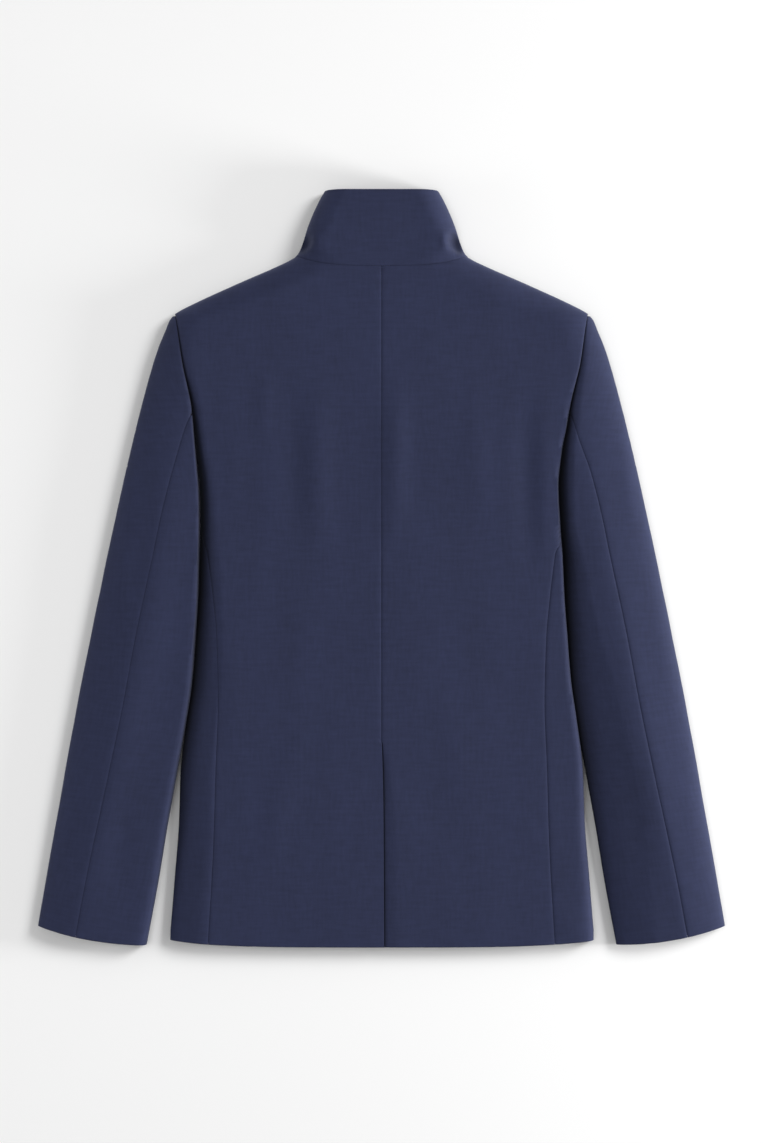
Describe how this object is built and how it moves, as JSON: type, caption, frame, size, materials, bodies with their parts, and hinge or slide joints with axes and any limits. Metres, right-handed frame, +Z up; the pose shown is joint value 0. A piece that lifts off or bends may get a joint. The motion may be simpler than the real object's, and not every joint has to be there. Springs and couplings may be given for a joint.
{
  "type": "blazer",
  "caption": "Tailored navy wool blazer laid face down with its collar turned up, showing the back, centre vent and two-piece sleeves.",
  "frame": {"origin": "centre of the floor area under the laid-out garment, on the surface that it lies on", "axes": "+Y from hem to collar, +X to the wearer's right, +Z up from the surface, out of the garment's back"},
  "size_m": [0.6772, 0.7442, 0.027],
  "materials": {
    "wool_cloth": "fine plain-woven navy wool with a soft matt sheen, pressed smooth",
    "button": "satin dark navy resin"
  },
  "bodies": {
    "root": {"back_left": "wool_cloth", "side_left": "wool_cloth", "front_left": "wool_cloth", "pocket_flap_left": "wool_cloth", "top_sleeve_left": "wool_cloth", "under_sleeve_left": "wool_cloth", "back_right": "wool_cloth", "side_right": "wool_cloth", "front_right": "wool_cloth", "pocket_flap_right": "wool_cloth", "top_sleeve_right": "wool_cloth", "under_sleeve_right": "wool_cloth", "collar": "wool_cloth", "button_1": "button", "button_2": "button"}
  },
  "joints": []
}
